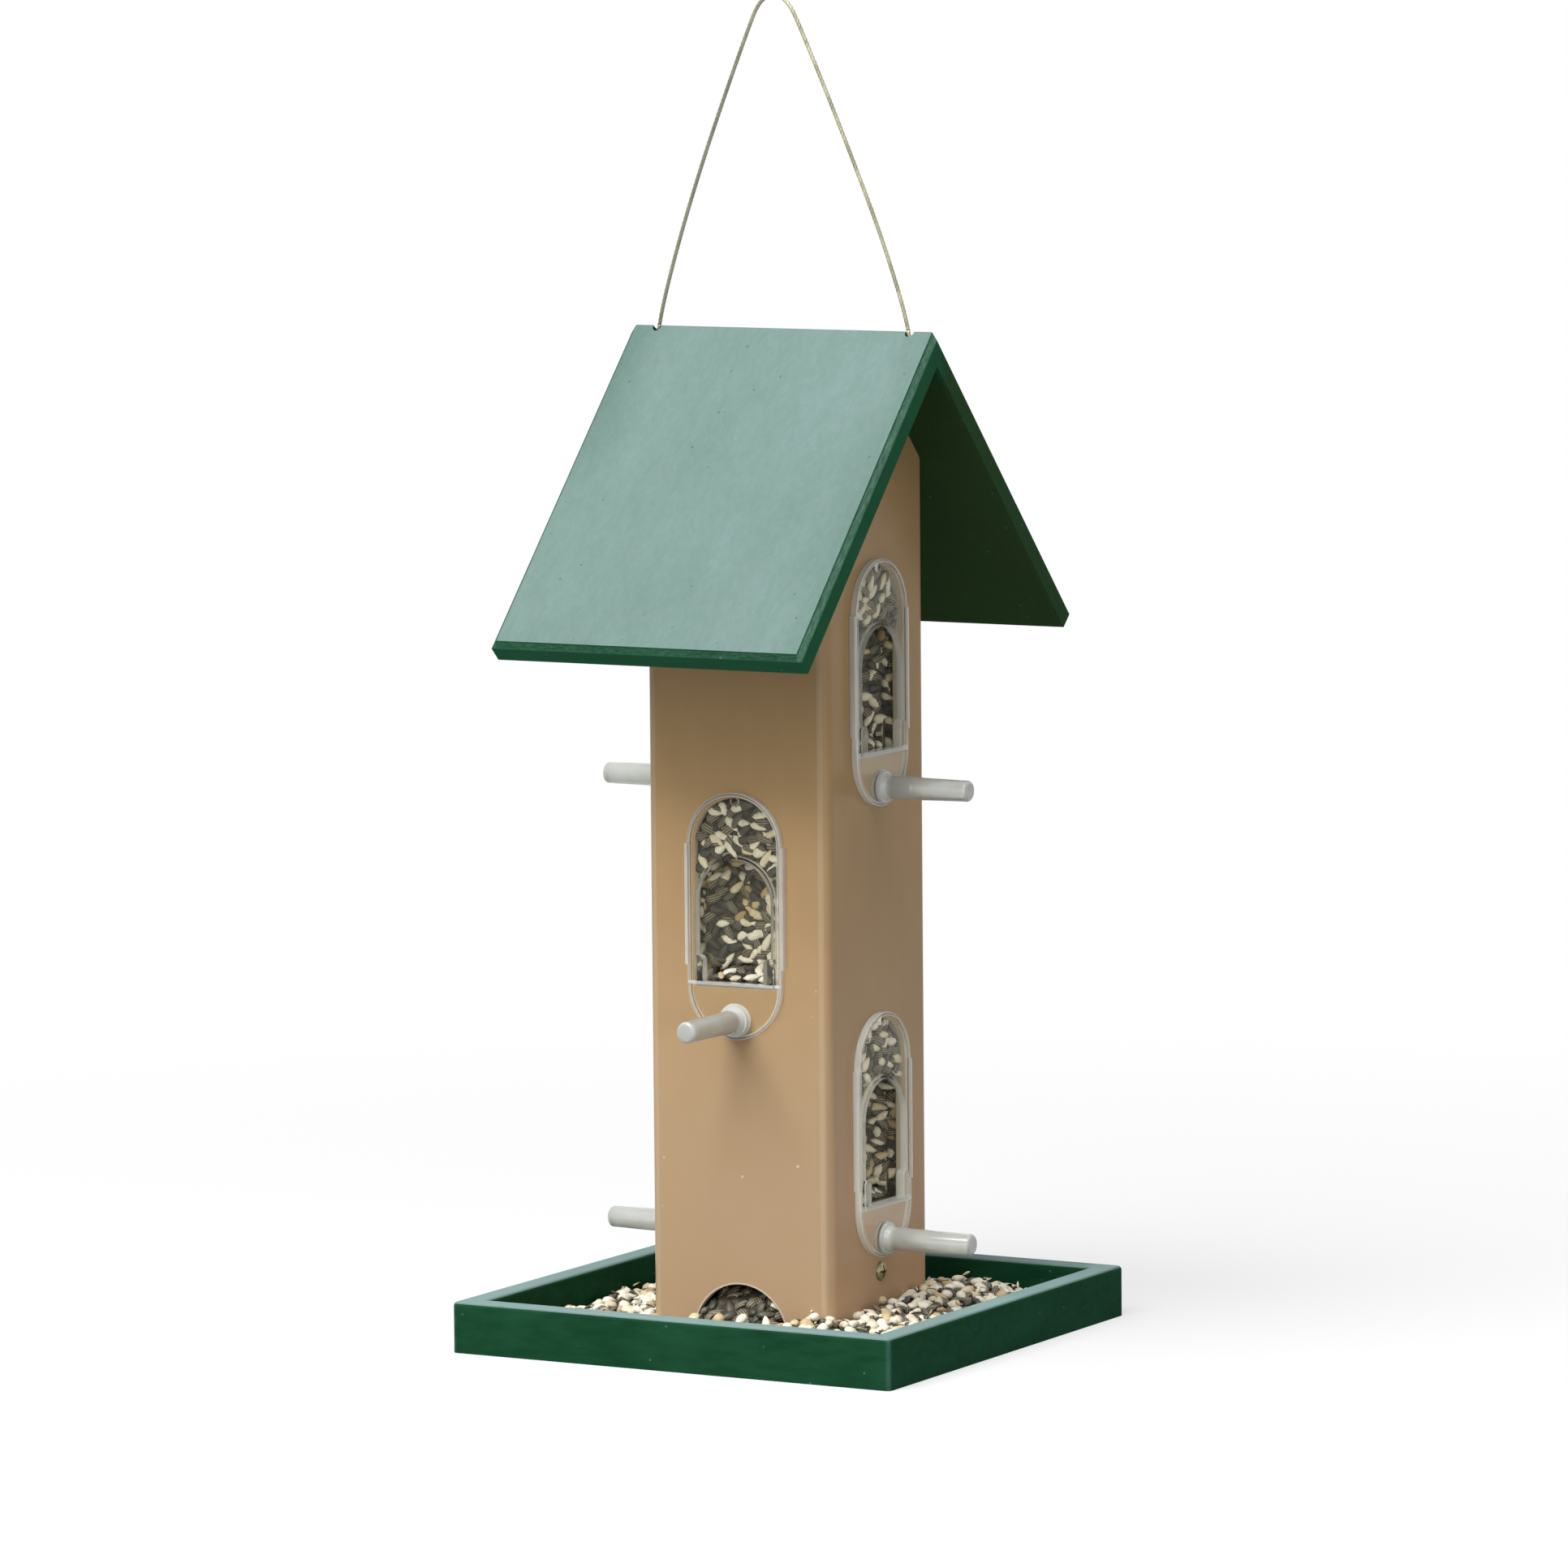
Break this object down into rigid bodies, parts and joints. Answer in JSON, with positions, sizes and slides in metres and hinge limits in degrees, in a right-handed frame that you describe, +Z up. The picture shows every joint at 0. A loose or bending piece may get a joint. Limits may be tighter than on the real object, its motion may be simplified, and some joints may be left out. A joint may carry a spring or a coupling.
{
  "type": "silo bird feeder",
  "caption": "Square tan tower bird feeder with a lift-up green gable roof, clear moulded seed ports with peg perches, a mitred green seed tray and a cable loop to hang it by.",
  "frame": {"origin": "centre of the tray's underside, on the surface the feeder stands on", "axes": "+Z up, ridge of the roof along X, front eave towards -Y, gables towards +X and -X"},
  "size_m": [0.245, 0.2758, 0.6639],
  "materials": {
    "tan_vinyl": "satin extruded vinyl",
    "green_board": "satin recycled plastic board with a faint grain",
    "clear_port": "clear moulded polycarbonate",
    "frosted_perch": "frosted moulded plastic",
    "zinc_screw": "yellow zinc plated",
    "coated_cable": "clear-coated twisted steel cable",
    "aluminium_ferrule": "crimped"
  },
  "bodies": {
    "feeder": {"tower_tube": "tan_vinyl", "port_front": "clear_port", "perch_front": "frosted_perch", "port_rear": "clear_port", "perch_rear": "frosted_perch", "port_right_upper": "clear_port", "perch_right_upper": "frosted_perch", "port_right_lower": "clear_port", "perch_right_lower": "frosted_perch", "port_left_upper": "clear_port", "perch_left_upper": "frosted_perch", "port_left_lower": "clear_port", "perch_left_lower": "frosted_perch", "perch_screws": "zinc_screw", "wedge_screws": "zinc_screw", "floor_screws": "zinc_screw", "rim_screws": "zinc_screw", "seed_wedge": "green_board", "tray_floor": "green_board", "tray_rim_front": "green_board", "tray_rim_rear": "green_board", "tray_rim_left": "green_board", "tray_rim_right": "green_board", "hanging_cable": "coated_cable", "cable_ferrules": "aluminium_ferrule"},
    "roof": {"roof_panel_front": "green_board", "roof_panel_rear": "green_board", "ridge_screws": "zinc_screw"}
  },
  "joints": [
    {"name": "roof_lift", "type": "slide", "parent": "feeder", "child": "roof", "axis": [0, 0, 1], "range_m": [0, 0.1], "deforming": ["hanging_cable"]}
  ]
}
